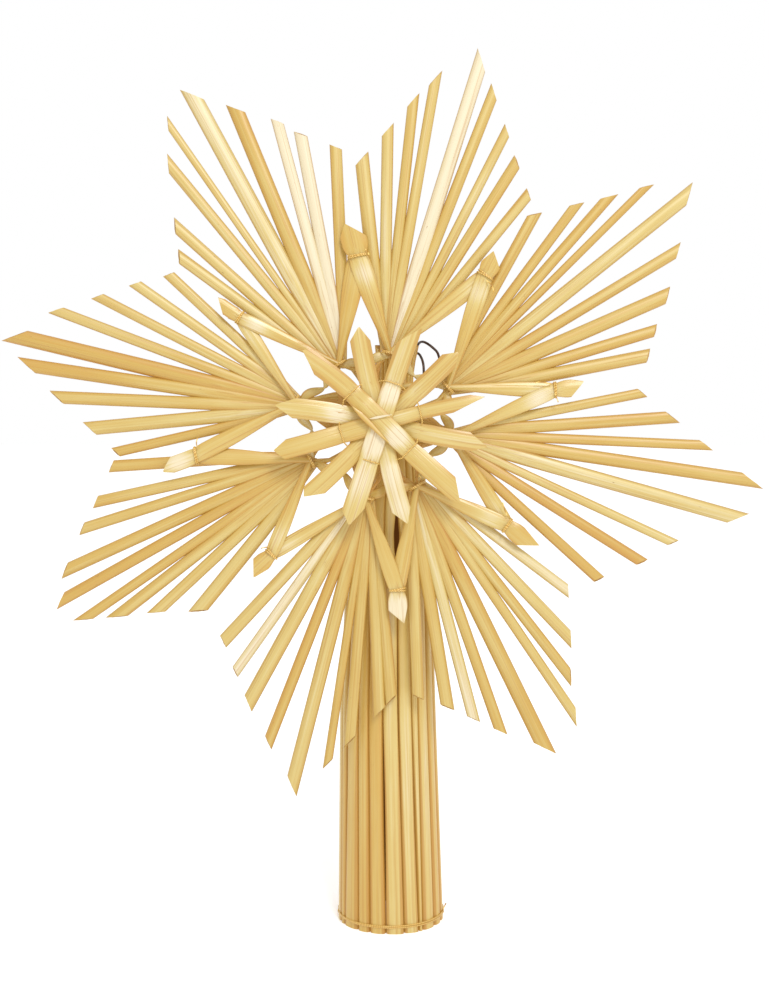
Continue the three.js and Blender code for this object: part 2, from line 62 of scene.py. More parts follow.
# %% Places of the star and the socket
MILLIMETRE = 0.001
hoop_low, hoop_high = (Vector(corner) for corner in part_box("socket_hoop"))
foot = Vector(((hoop_low.x + hoop_high.x) / 2, (hoop_low.y + hoop_high.y) / 2, 0))
STAR_CENTRE = Vector((-5, -13.5, 195.5))
STAR_LEAN = 3.2
ROSETTE_OFFSET = Vector((0.9, 0, -1.1))
in_millimetres = Matrix.Scale(MILLIMETRE, 4)
socket_place = Matrix.Translation(foot) @ in_millimetres
star_place = (socket_place @ Matrix.Translation(STAR_CENTRE)
              @ Matrix.Rotation(math.radians(-STAR_LEAN), 4, "X"))
rosette_place = star_place @ Matrix.Translation(ROSETTE_OFFSET)
BACK = Vector((0, 1, 0))
print("socket axis at", [round(v, 4) for v in foot])


# %% [markdown]
# ## Camera
# The camera stands level with the star's centre, a little over half a metre away, so the star is
# seen square on and the foot of the socket from above. The view at the star is as high as the
# topper with a little air round it. The lens is shifted so that the whole height fits without
# tilting the camera, and the camera stands a hair to the right of the star's centre.

# %% Camera
STAR_DISTANCE = 0.540
VIEW_HEIGHT = 0.385
RIGHT_OF_CENTRE = 0.0025
star_middle = star_place @ Vector((0, 0, 0))
bpy.ops.object.camera_add(
    location=(star_middle.x + RIGHT_OF_CENTRE, star_middle.y - STAR_DISTANCE, star_middle.z),
    rotation=(math.radians(90), 0, 0))
camera = bpy.context.object
camera.name = "camera"
camera.data.sensor_width = 36
camera.data.lens = camera.data.sensor_width * STAR_DISTANCE / VIEW_HEIGHT
camera.data.shift_y = -0.08
camera.data.clip_start, camera.data.clip_end = 0.05, 20
bpy.context.scene.camera = camera
print("lens", round(camera.data.lens, 1), "mm")


# %% [markdown]
# ## Shader maths as plain Python
# A material is a net of nodes. To keep a finish readable, a small class wraps a socket, so that
# `1 - fibres * 0.3` adds the Math nodes that it needs.

# %% Node helpers
class Flow:
    """An output socket in a material, with Python's own operators for Math nodes."""

    def __init__(self, board, socket):
        self.board, self.socket = board, socket

    def _math(self, operation, *values):
        return self.board.node("ShaderNodeMath", {"operation": operation}, dict(enumerate(values)))

    def __add__(self, other):
        return self._math("ADD", self, other)

    def __radd__(self, other):
        return self._math("ADD", other, self)

    def __sub__(self, other):
        return self._math("SUBTRACT", self, other)

    def __rsub__(self, other):
        return self._math("SUBTRACT", other, self)

    def __mul__(self, other):
        return self._math("MULTIPLY", self, other)

    def __rmul__(self, other):
        return self._math("MULTIPLY", other, self)

    def between(self, low, high):
        """0 at low and below, 1 at high and above, smooth in between."""
        return self.board.node(
            "ShaderNodeMapRange", {"interpolation_type": "SMOOTHSTEP"},
            {0: self, 1: low, 2: high})


class Board:
    """A new material, and one way to add any node to it."""

    def __init__(self, name):
        self.material = bpy.data.materials.new(name)
        self.material.use_nodes = True
        self.tree = self.material.node_tree
        self.shader = self.tree.nodes["Principled BSDF"]

    def node(self, kind, settings=None, inputs=None, output=0):
        """Adds a node, sets it up, then fills its sockets with values or links."""
        made = self.tree.nodes.new(kind)
        for key, value in (settings or {}).items():
            if key == "stops":
                self._ramp(made.color_ramp, value)
            else:
                setattr(made, key, value)
        for key, value in (inputs or {}).items():
            self._fill(made.inputs[key], value)
        return Flow(self, made.outputs[output])

    def _fill(self, socket, value):
        if isinstance(value, Flow):
            self.tree.links.new(value.socket, socket)
        else:
            socket.default_value = value

    @staticmethod
    def _ramp(ramp, stops):
        while len(ramp.elements) < len(stops):
            ramp.elements.new(0.5)
        for element, (position, colour) in zip(ramp.elements, stops):
            element.position, element.color = position, (*colour, 1)

    def attribute(self, name):
        return self.node("ShaderNodeAttribute", {"attribute_name": name}, {}, "Vector")

    def split(self, vector):
        made = self.node("ShaderNodeSeparateXYZ", {}, {0: vector})
        return [Flow(self, made.socket.node.outputs[i]) for i in range(3)]

    def stretched(self, vector, scale):
        return self.node("ShaderNodeVectorMath", {"operation": "MULTIPLY"}, {0: vector, 1: scale})

    def noise(self, vector, scale, detail):
        """Cloudy noise from 0 to 1 on a vector that is first stretched by three factors."""
        return self.node("ShaderNodeTexNoise", {}, {
            "Vector": self.stretched(vector, scale), "Scale": 1.0, "Detail": detail})

    def ramp(self, factor, stops):
        return self.node("ShaderNodeValToRGB", {"stops": stops}, {0: factor})

    def mix(self, factor, a, b):
        """Colour a where the factor is 0 and b where it is 1; 6 and 7 are the colour sockets."""
        colours = {6 + i: (*c, 1) if isinstance(c, tuple) else c for i, c in enumerate((a, b))}
        return self.node("ShaderNodeMix", {"data_type": "RGBA"}, {0: factor, **colours}, 2)

    def bump(self, height, strength, distance):
        return self.node("ShaderNodeBump", {}, {
            "Height": height, "Strength": strength, "Distance": distance})

    def finish(self, **sockets):
        """Fills the shader's sockets; underscores in the names stand for spaces."""
        for name, value in sockets.items():
            self._fill(self.shader.inputs[name.replace("_", " ")], value)
        return self.material


print("node helpers ready")

# %% [markdown]
# ## The finish of straw
# Straw is a waxy tube of long fibres. From straw to straw it goes from orange tan over gold to a
# pale cream, and along one straw the fibres draw fine darker lines and pale streaks. Every mesh
# here carries three attributes for this. `grain` is the place on the straw itself, in
# millimetres: across, in depth and along. Noise that is stretched on it runs along each straw
# wherever the straw points. `straw` holds the tone of the straw, how far inside the tube a point
# is and how dusty or split it is, so that one material serves every straw and no two look alike.
# `section` says where across and along the straw a point is, from side to side and from root to
# end. Painted shade darkens each straw along its sides, above all near its root, where the straws
# lie close under their tie, and draws a dark line along a crease there. The side of a straw that
# faces inwards can take painted shade too. The walls are so thin that light comes through them,
# which warms the shadows; a faint painted glow stands for that.

# %% Straw material
TAN = (0.360, 0.182, 0.032)
GOLD = (0.378, 0.253, 0.056)
YELLOW = (0.430, 0.350, 0.130)
CREAM = (0.53, 0.485, 0.35)
EDGE_SHADE_COLOUR = (0.29, 0.130, 0.018)
FIBRE_LINE = (0.30, 0.145, 0.030)
DUST = (0.16, 0.085, 0.03)
INNER_WALL = (0.40, 0.22, 0.06)
SHADED_SIDE = (0.15, 0.028, 0.008)
GLOW = (1.0, 0.53, 0.10)
SHADED_GLOW = (0.20, 0.03, 0.006)
RIDGE_HEIGHT = 0.00022


def straw_finish(name, roughness, ridges, edge_shade, edge_shade_from, lines, glow, shaded=0.0):
    """Waxy straw with long fibres. `ridges` is how strongly the fibres stand out, `edge_shade` how
    much painted shade darkens it along its two sides and near its root, `edge_shade_from` where
    across it that begins, `lines` how dark the lines between its fibres are, `glow` how much it
    glows, a painted stand-in for light coming through, and `shaded` how much painted shade browns
    its inward side."""
    board = Board(name)
    grain = board.attribute("grain")
    tone, inside, wear = board.split(board.attribute("straw"))
    side, depth, share = board.split(board.attribute("section"))
    edge, root = side * side, 1 - share.between(0.0, 0.42)
    fine = board.noise(grain, (2.3, 2.3, 0.022), 2)
    broad = board.noise(grain, (0.80, 0.80, 0.009), 2)
    cloudy = board.noise(grain, (0.25, 0.25, 0.045), 2)
    crease = side + (cloudy - 0.5) * 0.5 + 0.2
    # Painted shade: a dark line along a crease near the root, where neighbouring straws press
    # together.
    painted_crease_shade = (1 - crease * crease * 40).between(0, 1) * root * 0.6
    level = tone + (fine - 0.5) * 0.46 + (broad - 0.5) * 0.50 + (cloudy - 0.5) * 0.30
    # Painted shade: the tone drops towards the straw's sides, as if each straw were shaded round
    # its curve.
    colour = board.ramp(level - edge * 0.22 + 0.06,
                        [(0.0, TAN), (0.33, GOLD), (0.66, YELLOW), (1.0, CREAM)])
    line = board.noise(grain, (2.2, 2.2, 0.014), 1).between(0.58, 0.70)
    colour = board.mix(line * lines, colour, FIBRE_LINE)
    # Painted shade along the sides, stronger near the root where the straws lie close together.
    painted_edge_shade = (edge * (1 + root * 1.3)).between(edge_shade_from, 1.05) * edge_shade * (0.6 + cloudy)
    colour = board.mix(painted_edge_shade + painted_crease_shade * edge_shade, colour, EDGE_SHADE_COLOUR)
    fleck = board.noise(grain, (1.9, 1.9, 0.42), 2).between(0.72, 0.79)
    colour = board.mix(fleck * wear, colour, DUST)
    colour = board.mix(inside * 0.8, colour, INNER_WALL)
    # Painted shade on the side of a straw that faces inwards; the socket uses it for the inside of
    # its tube.
    inward_shade = (1 - depth.between(-0.8, 0.05)) * shaded
    colour = board.mix(inward_shade, colour, SHADED_SIDE)
    height = fine * 0.5 + broad * 0.7 - line * 0.4
    return board.finish(
        Base_Color=colour, Roughness=roughness + (fine - 0.5) * 0.16 + inside * 0.3,
        Normal=board.bump(height, ridges, RIDGE_HEIGHT), IOR=1.47, Specular_IOR_Level=0.62,
        Emission_Color=board.mix(inside * 0.6 + inward_shade * 0.8, GLOW, SHADED_GLOW),
        Emission_Strength=glow)


fan_finish = straw_finish("straw_round", roughness=0.40, ridges=0.20, edge_shade=0.56, edge_shade_from=0.60,
                          lines=0.40, glow=0.12)
flat_finish = straw_finish("straw_flattened", roughness=0.30, ridges=0.44, edge_shade=0.45,
                           edge_shade_from=0.72, lines=0.50, glow=0.14)
socket_finish = straw_finish("straw_socket", roughness=0.42, ridges=0.22, edge_shade=0.60,
                             edge_shade_from=0.80, lines=0.36, glow=0.15, shaded=0.95)
print("straw materials:", fan_finish.name, flat_finish.name, socket_finish.name)

# %% [markdown]
# ## Thread and wire
# The thread is two fine golden strands twisted together. `grain` holds where a point is round the
# thread and how far along, so a slanting wave across it is the twist. Its colour follows the wave:
# painted shade darkens the grooves of the twist and a painted highlight pales its crowns. The wire
# is soft iron with a dark lacquer.

# %% Thread and wire materials
def thread_finish():
    board = Board("golden_thread")
    cosine, sine, along = board.split(board.attribute("grain"))
    round_it = board.node("ShaderNodeMath", {"operation": "ARCTAN2"}, {0: sine, 1: cosine})
    twist = board.node("ShaderNodeMath", {"operation": "SINE"}, {0: round_it * 2 + along * 9.0})
    strand = twist * 0.5 + 0.5
    # Painted shade in the grooves of the twist and a painted highlight on its crowns.
    colour = board.ramp(strand, [(0.0, (0.34, 0.160, 0.022)), (0.55, (0.55, 0.32, 0.055)),
                                 (1.0, (0.80, 0.58, 0.19))])
    return board.finish(Base_Color=colour, Roughness=0.36,
                        Normal=board.bump(strand, 0.4, 0.00010))


def wire_finish():
    board = Board("dark_lacquered_wire")
    place = board.node("ShaderNodeTexCoord", {}, {}, "Object")
    worn = board.noise(place, (900, 900, 900), 3)
    colour = board.ramp(worn, [(0.35, (0.040, 0.020, 0.013)), (0.75, (0.10, 0.055, 0.035))])
    return board.finish(Base_Color=colour, Roughness=0.38 + worn * 0.25, Metallic=0.15,
                        Normal=board.bump(worn, 0.25, 0.00005))


thread_material = thread_finish()
wire_material = wire_finish()
print("thread and wire ready")

# %% [markdown]
# ## One straw, modelled once
# All straws are one open tube with a wall. It is modelled once at unit size: a cylinder without
# ends, cut into rings by bisecting it, and given its wall by Solidify. Each straw of the star is
# a copy with its own mesh, drawn out along its own run. A second, finer tube serves the flattened
# straws, whose sections need more corners, and a thin closed rod serves thread and wire.

# %% Master straw, flat straw and rod
def unit_tube(name, sides, rings, wall):
    """A tube of radius 1 from Z = 0 to 1, cut into rings; a rod with closed ends if wall is 0."""
    bpy.ops.mesh.primitive_cylinder_add(
        vertices=sides, radius=1, depth=1, location=(0, 0, 0.5),
        end_fill_type="NOTHING" if wall else "TRIFAN")
    tube = bpy.context.object
    tube.name = name
    bpy.ops.object.transform_apply(location=True, rotation=False, scale=False)
    bpy.ops.object.mode_set(mode="EDIT")
    for ring in range(1, rings):
        bpy.ops.mesh.select_all(action="SELECT")
        bpy.ops.mesh.bisect(plane_co=(0, 0, ring / rings), plane_no=(0, 0, 1))
    bpy.ops.object.mode_set(mode="OBJECT")
    if wall:
        shell = tube.modifiers.new("wall", "SOLIDIFY")
        shell.thickness, shell.offset = wall, -1
        bpy.ops.object.modifier_apply(modifier="wall")
    tube.select_set(False)
    return tube


round_straw = unit_tube("round_straw", 16, 16, 0.17)
flat_straw = unit_tube("flat_straw", 32, 40, 0.22)
rod = unit_tube("rod", 8, 28, 0)
print("masters:", [(m.name, len(m.data.polygons)) for m in (round_straw, flat_straw, rod)])

# %% [markdown]
# ## Laying a straw
# A run says, for a distance along the straw, where its middle is and how wide it is on each side
# and how deep. `lay` draws a copy of a master out along such a run: each lengthwise line of the
# tube gets its own length, so a slanting cut comes from a length that varies from side to side.
# Curves with Bevel could do it too, but not with a section that changes along the way and ends
# that are cut. The attributes for the finish are written in the same pass.

# %% Lay a copy along a run
chance = random.Random(24)
SMOOTH_UP_TO = math.radians(38)


def clockwise_of(way):
    """The clockwise side of a way across the star, seen from the front."""
    return BACK.cross(way).normalized()


def lay(master, run, length, far=lambda side: 0, near=lambda side: 0, *, roll=0, box=1.0,
        tone=0.5, tone_shift_and_painted_sheen=lambda distance: 0, wear=0.0, back=BACK, square=None, curl=0.0, fold=0.0,
        lip=0.0, step=0.4):
    """A copy of the master along `run`, which gives (middle, anticlockwise half width, clockwise
    half width, half depth) at a distance. `box` under 1 flattens the section's front and back,
    `curl` bends its edges back, `fold` creases it off its middle, `lip` makes its back longer
    than its front and `roll` turns it on its own axis, in degrees. `tone_shift_and_painted_sheen`
    pales its tone along a
    stretch: a random tone shift on the fans and the socket, a painted sheen on the bridges and the
    rosette. `step` is the distance over which the run's way is taken."""
    mesh = master.data.copy()
    shift = Vector((chance.uniform(0, 90), chance.uniform(0, 90), chance.uniform(0, 900)))
    crease = chance.uniform(-0.35, 0.35)
    turn = Matrix.Rotation(math.radians(roll), 2)
    grain, traits, section = [], [], []
    for vertex in mesh.vertices:
        side, depth, share = vertex.co
        inside = 1.0 if 0.01 < math.hypot(side, depth) < 0.95 else 0.0
        start = near(side)
        distance = start + share * (length + far(side) + lip * depth - start)
        middle, left, right, deep = run(distance)
        ahead, behind = run(distance + step)[0], run(distance - step)[0]
        way = square or (ahead - behind).normalized()
        across = back.cross(way).normalized()
        inward = way.cross(across)
        grain += [side * (left + right) / 2 + shift.x, depth * deep + shift.y, distance + shift.z]
        traits += [tone + tone_shift_and_painted_sheen(distance), inside, wear]
        section += [side, depth, share]
        if box != 1.0 and depth:
            depth = math.copysign(abs(depth) ** box, depth)
        bent = curl * side * side + fold * abs(side - crease)
        flat = turn @ Vector((side * (right if side > 0 else left), depth * deep + bent))
        vertex.co = middle + across * flat.x + inward * flat.y
    for name, values in (("grain", grain), ("straw", traits), ("section", section)):
        mesh.attributes.new(name, "FLOAT_VECTOR", "POINT").data.foreach_set("vector", values)
    laid = bpy.data.objects.new(master.name, mesh)
    bpy.context.scene.collection.objects.link(laid)
    return laid


def gather(name, laid, place, material, nodes):
    """Joins laid straws into one piece, sets it in place and hands it to the frame."""
    bpy.ops.object.select_all(action="DESELECT")
    for one in laid:
        one.select_set(True)
    bpy.context.view_layer.objects.active = laid[0]
    if len(laid) > 1:
        bpy.ops.object.join()
    piece = bpy.context.object
    piece.name = piece.data.name = name
    piece.data.transform(place)
    piece.data.materials.clear()
    piece.data.materials.append(material)
    bpy.ops.object.shade_smooth_by_angle(angle=SMOOTH_UP_TO)
    bpy.ops.object.select_all(action="DESELECT")
    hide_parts(*nodes)
    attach(piece, "root")


def polar(radius, direction, depth=0.0):
    """A point before or behind the star's plane, by radius and direction."""
    angle = math.radians(direction)
    return Vector((radius * math.cos(angle), depth, radius * math.sin(angle)))


def softer(a, b, hardness=8):
    """The smaller of two lengths, with the corner between them rounded off."""
    return (a ** -hardness + b ** -hardness) ** (-1 / hardness)


def ease(value, low, high):
    """0 below low, 1 above high and smooth in between."""
    share = min(max((value - low) / (high - low), 0), 1)
    return share * share * (3 - 2 * share)


print("ready to lay straws")

# %% [markdown]
# ## The fans
# Each fan is a bundle of nine whole straws, crushed flat where its tie grips them and spread like
# the fingers of a hand. Seen along the fan they overlap at the tie, part further out, and turn
# from flat to nearly round. The maker trims the fan with two slanting cuts that meet at its
# longest straw. The rows hold the dimensions that the solids have too: tie, point and both
# corners of the outline, the way to each straw's tip, its width, how far its tip misses the
# outline, and its tone, from 0 for orange tan to 1 for cream. A straw takes a little more than
# half of the gap to each neighbour until it has its full width, so the straws overlap at the root.

# %% Fan dimensions
FANS = [
    dict(tie=(26.1, 125.5), point=(156.1, 122.5), left=(102.4, 139.5), right=(109.5, 100),
         ways=(144, 138, 129, 124.5, 120, 113.5, 105.5, 101, 92.5),
         widths=(4.6, 4.6, 4.4, 3.0, 6.6, 6.0, 4.5, 5.0, 4.8),
         trims=(-0.6, 0.2, 1.4, -1.0, -0.5, 0.4, 1.4, -0.4, -0.5),
         tones=(0.58, 0.54, 0.55, 0.50, 0.70, 0.38, 0.98, 1.06, 0.45)),
    dict(tie=(26.1, 80), point=(154.9, 76), left=(104.9, 92), right=(107.2, 57.5),
         ways=(96, 89, 83.5, 79.5, 74, 69.5, 63.5, 58, 50.5),
         widths=(5.6, 4.6, 4.2, 4.2, 5.6, 4.4, 3.9, 4.6, 4.2),
         trims=(0, 0.2, 1.1, 0, -0.5, 0.5, 0.3, -0.3, 0.1),
         tones=(0.48, 0.5, 0.4, 0.48, 1.05, 0.45, 0.5, 0.42, 0.52)),
    dict(tie=(29.5, 25), point=(155.9, 37.5), left=(103.1, 51.5), right=(109.4, 14.5),
         ways=(61.5, 53.5, 48.5, 44.5, 40, 32, 24.5, 17, 11),
         widths=(4.6, 3.9, 4.2, 3.1, 5.6, 4.6, 5.6, 4.6, 5.2),
         trims=(0.1, 0.2, 0.2, 1.4, -1.4, 0.6, 0.9, -0.7, -1.0),
         tones=(0.34, 0.36, 0.31, 0.27, 0.55, 0.32, 0.35, 0.27, 0.43)),
    dict(tie=(29, -13), point=(156, -11.5), left=(104.1, 5), right=(105.3, -35),
         ways=(11.5, 3.5, -3, -9.5, -14.5, -24.5, -32, -42.5),
         widths=(3.9, 4.8, 3.9, 5.2, 5.6, 3.5, 4.2, 4.2),
         trims=(-0.1, 0, -0.5, 0.8, 0.2, -1.9, 0.6, -0.1),
         tones=(0.36, 0.32, 0.24, 0.30, 0.62, 0.56, 0.18, 0.26)),
    dict(tie=(29.4, -59.5), point=(150.4, -60), left=(99.8, -43), right=(107.8, -80.5),
         ways=(-36.5, -46.5, -52.5, -56.5, -62.5, -70, -75, -80.5, -88),
         widths=(4.2, 4.6, 4.2, 3.9, 6.0, 4.3, 4.4, 5.0, 4.8),
         trims=(-0.1, 0.2, -1.0, 1.6, -0.5, 0.4, -0.2, -0.5, 0.4),
         tones=(0.72, 0.60, 0.42, 0.48, 0.32, 0.38, 0.70, 0.42, 0.42)),
    dict(tie=(30.4, -99), point=(145.8, -102.5), left=(108.8, -88.5), right=(105, -124),
         ways=(-84.5, -88, -95, -99, -103, -110.5, -118, -125.5, -133),
         widths=(4.8, 4.8, 4.4, 3.3, 5.4, 4.2, 5.6, 4.0, 4.9),
         trims=(0.2, 0.4, 0.5, 0.7, -0.7, 0.7, 1.1, 0.2, -0.8),
         tones=(0.44, 0.46, 0.40, 0.34, 0.46, 0.28, 0.56, 0.85, 0.54)),
    dict(tie=(30, -149), point=(147.8, -148.5), left=(102.7, -134.5), right=(106.3, -169),
         ways=(-129, -137, -142.5, -146, -149.5, -154.5, -162, -167.5, -176.5),
         widths=(5.6, 4.5, 4.8, 3.9, 4.5, 4.8, 4.2, 4.4, 4.6),
         trims=(0, -0.9, 0, 0.3, -2.4, 1.8, 1.2, -0.2, -1.0),
         tones=(0.54, 0.48, 0.42, 0.32, 0.25, 0.40, 0.42, 0.36, 0.26)),
    dict(tie=(32, 168.5), point=(150.6, 168), left=(103.4, 186), right=(101.7, 146.5),
         ways=(193.5, 185, 177, 170.5, 168, 160, 153, 145, 136.5),
         widths=(4.0, 5.4, 5.0, 5.3, 6.2, 4.2, 3.9, 4.2, 4.2),
         trims=(-0.2, 0.2, 0.3, -1.1, -2.3, 3.1, 1.5, 0.5, -1.1),
         tones=(0.34, 0.54, 0.44, 0.27, 0.24, 0.44, 0.5, 0.44, 0.44)),
]
PEAK_STRAW = 4
ROOT_PITCH = 0.75
ROOT_DEPTH = 0.34
DEPTH_TO_WIDTH = 0.62
UNDER_TIE = 1.2
SHARE_OF_GAP = 0.70
WIDEST_GAP = 0.11
STEEPEST_CUT = 2.2
print("straws in the fans:", sum(len(fan["ways"]) for fan in FANS))


# %% Straws of a fan
def crossing(start, way, a, b):
    """Where the line from a point along a way meets the line through two others."""
    edge, apart = b - a, a - start
    reach = (apart.x * edge.z - apart.z * edge.x) / (way.x * edge.z - way.z * edge.x)
    return start + way * reach


def straw_end(fan, index):
    """The middle of a straw's end, which side of its cut is long and how steep the cut is."""
    peak, way = polar(*fan["point"]), polar(1, fan["ways"][index])
    before_peak = index < PEAK_STRAW and fan["ways"][index] > fan["ways"][PEAK_STRAW]
    corner = polar(*fan["left" if before_peak else "right"])
    long_side = 1 if before_peak else -1
    tip = crossing(polar(*fan["tie"]), way, peak, corner) + way * fan["trims"][index]
    middle = tip - clockwise_of(way) * (long_side * fan["widths"][index] / 2)
    slope = abs(way.dot((corner - peak).normalized()))
    return middle, long_side, min(slope / math.sqrt(1 - slope * slope), STEEPEST_CUT)


def fan_straw(fan, index):
    """One straw from under the tie to its slanting cut."""
    tie = polar(*fan["tie"])
    axis = (polar(*fan["point"]) - tie).normalized()
    half = fan["widths"][index] / 2
    end, long_side, steepness = straw_end(fan, index)
    root = tie + clockwise_of(axis) * ((index - (len(fan["ways"]) - 1) / 2) * ROOT_PITCH)
    way, length = (end - root).normalized(), (end - root).length

    def gap(other):
        """How fast the middle of a neighbouring straw moves away, per millimetre."""
        if not 0 <= other < len(fan["ways"]):
            return None
        return (straw_end(fan, other)[0] - tie).angle(end - tie)

    gaps = [gap(index - 1), gap(index + 1)]
    known = [g for g in gaps if g is not None]
    usual = min(WIDEST_GAP, sum(known) / len(known))
    gaps = [usual if g is None else max(g, usual) for g in gaps]
    lift = chance.uniform(-0.35, 0.35)

    def run(distance):
        out = max(distance, 0)
        middle = root + way * distance + BACK * (lift * ease(out, 4, 40))
        sides = [softer(half, SHARE_OF_GAP * (ROOT_PITCH + out * g)) for g in gaps]
        deep = ROOT_DEPTH + (DEPTH_TO_WIDTH * half - ROOT_DEPTH) * ease(out, 2, 46)
        return middle, sides[0], sides[1], deep

    def cut(side):
        return -half * steepness * (1 - long_side * side) + chance.uniform(-0.12, 0.12)

    patch = chance.uniform(20, 110)
    pale = chance.uniform(-0.05, 0.16)

    def tone_shift_and_painted_sheen(distance):
        return pale * math.exp(-((distance - patch) / 26) ** 2)

    return lay(round_straw, run, length, far=cut, near=lambda side: -UNDER_TIE,
               lip=0.18 * half, roll=chance.uniform(-9, 9),
               tone=fan["tones"][index] + chance.uniform(-0.03, 0.03), tone_shift_and_painted_sheen=tone_shift_and_painted_sheen,
               wear=0.9 if chance.random() < 0.3 else 0.25)


for number, fan in enumerate(FANS, 1):
    straws = [fan_straw(fan, index) for index in range(len(fan["ways"]))]
    gather(f"fan_straws_{number}", straws, star_place, fan_finish, [f"fan_{number}"])
print("fans laid")

# %% [markdown]
# ## Thread
# The ties are two turns of thread drawn tight. A turn is a torus, bent to the outline of what it
# holds, and a loose end is a thin rod along a curve. The turns lie side by side, each a little
# askew, as hand winding leaves them.

# %% Thread helpers
bpy.ops.mesh.primitive_torus_add(
    major_segments=48, minor_segments=8, major_radius=1, minor_radius=0.5)
loop = bpy.context.object
loop.name = "thread_loop"
loop.select_set(False)
THREAD = 0.27
ASLANT = Vector((0.13, 0.91, 0.39)).normalized()


def wound(route, thickness=THREAD):
    """A closed turn of thread along `route`, which gives a point for a share of the turn."""
    mesh = loop.data.copy()
    centre = sum((route(i / 12) for i in range(12)), Vector()) / 12
    length = sum((route((i + 1) / 24) - route(i / 24)).length for i in range(24))
    grain = []
    for vertex in mesh.vertices:
        share = (math.atan2(vertex.co.y, vertex.co.x) / math.tau) % 1
        out, up = (math.hypot(vertex.co.x, vertex.co.y) - 1) * 2, vertex.co.z * 2
        here = route(share)
        way = (route((share + 0.01) % 1) - route((share - 0.01) % 1)).normalized()
        band = (here - centre).cross(way).normalized()
        outward = way.cross(band)
        grain += [out, up, share * length]
        vertex.co = here + outward * (out * thickness) + band * (up * thickness)
    mesh.attributes.new("grain", "FLOAT_VECTOR", "POINT").data.foreach_set("vector", grain)
    laid = bpy.data.objects.new("thread", mesh)
    bpy.context.scene.collection.objects.link(laid)
    return laid


def through(points):
    """A smooth curve through points, as a function of a share from 0 to 1."""
    ends = [points[0] * 2 - points[1], *points, points[-1] * 2 - points[-2]]

    def at(share):
        place = min(max(share, -0.05), 1.05) * (len(points) - 1)
        index = min(max(int(place), 0), len(points) - 2)
        u = place - index
        a, b, c, d = ends[index:index + 4]
        return 0.5 * (2 * b + (c - a) * u + (2 * a - 5 * b + 4 * c - d) * u * u
                      + (3 * b - a - 3 * c + d) * u ** 3)

    return at


def strand(points, thickness, master=rod):
    """A loose end of thread or a length of wire along a smooth curve through points."""
    curve = through([Vector(point) for point in points])
    return lay(master, lambda share: (curve(share), thickness, thickness, thickness), 1,
               back=ASLANT, step=0.004)


def turns_round(centre, way, half_width, half_depth, spread=0.5):
    """Two turns of thread side by side round a flat bundle that runs along `way`."""
    across = clockwise_of(way)
    made = []
    for shift in (-spread / 2, spread / 2):
        skew = chance.uniform(-0.35, 0.35)

        def route(share, shift=shift, skew=skew):
            angle = share * math.tau
            x, y = math.cos(angle), math.sin(angle)
            return (centre + across * (math.copysign(abs(x) ** 0.8, x) * (half_width + THREAD))
                    + BACK * (math.copysign(abs(y) ** 0.8, y) * (half_depth + THREAD))
                    + way * (shift + skew * x))

        made.append(wound(route))
    return made


# %% [markdown]
# ## The fans' ties
# Each bundle is bound once, where all its straws are crushed together. The bridge's straws, which
# lie in front, are bound in with them, so the turns are laid a little before the star's plane.

# %% Fan ties
FAN_TIE_FORWARD = 1.2
for number, fan in enumerate(FANS, 1):
    tie = polar(*fan["tie"])
    axis = (polar(*fan["point"]) - tie).normalized()
    threads = turns_round(tie - BACK * FAN_TIE_FORWARD, axis, half_width=3.0, half_depth=2.3,
                          spread=0.42)
    gather(f"fan_thread_{number}", threads, star_place, thread_material,
           [f"fan_tie_{number}"])
print("fan ties wound")

# %% [markdown]
# ## The bridges
# A wide straw from each of two neighbouring fans is flattened, and the two are tied together where
# they meet, one over the other. The thread turns both outwards, and beyond it they end in a point
# cut with scissors. The rows give the tie, the way both turn to, how far the straw behind goes
# on, and half the width in the thread's grip. For the front straw they give its outline beyond the
# thread: reach and half width of its anticlockwise corner, reach and place across of its tip,
# reach and half width of its clockwise corner. The gleam is a painted sheen, a silvery stretch
# just before the thread, or beyond it where a row says so.

# %% Bridge dimensions
BRIDGES = [
    dict(tie=(63.6, 97), out=104, back=8.5, grip=3.8, tones=(0.36, 0.35), tone_shift_and_painted_sheen=0.45,
         outline=(8.2, 5.0, 13.3, -2.0, 6.8, 5.1)),
    dict(tie=(69.2, 53.4), out=62, back=7.0, grip=3.2, tones=(0.42, 0.5), tone_shift_and_painted_sheen=0.4,
         outline=(4.2, 3.9, 9.7, -1.6, 4.7, 3.9)),
    dict(tie=(68.8, 9.5), out=6, back=5.5, grip=2.8, tones=(0.5, 0.5), tone_shift_and_painted_sheen=0.4,
         outline=(6.2, 3.4, 11.4, -2.1, 5.8, 3.4)),
    dict(tie=(63.7, -39.4), out=-40, back=6.0, grip=2.9, tones=(0.42, 0.4), tone_shift_and_painted_sheen=0.35,
         outline=(5.7, 3.6, 14.2, -2.0, 7.4, 3.6)),
    dict(tie=(65.3, -83.6), out=-87, back=7.5, grip=2.9, tones=(0.46, 0.45), tone_shift_and_painted_sheen=0.6, painted_sheen_at=7,
         outline=(6.0, 3.7, 12.8, -2.1, 7.4, 3.7)),
    dict(tie=(65.3, -128.3), out=-137, back=6.0, grip=2.6, tones=(0.38, 0.45), tone_shift_and_painted_sheen=0.3,
         outline=(4.7, 3.4, 11.1, -2.0, 6.3, 3.4)),
    dict(tie=(70.9, -168.8), out=-160, back=9.0, grip=3.1, tones=(0.45, 0.4), tone_shift_and_painted_sheen=0.5, painted_sheen_at=7,
         outline=(9.8, 3.4, 13.9, -1.7, 9.2, 2.9)),
    dict(tie=(66.0, 143.5), out=146, back=6.5, grip=2.5, tones=(0.36, 0.5), tone_shift_and_painted_sheen=0.5,
         outline=(6.1, 2.7, 11.2, 1.7, 8.7, 2.6)),
]
BRIDGE_DEPTH = 2.6
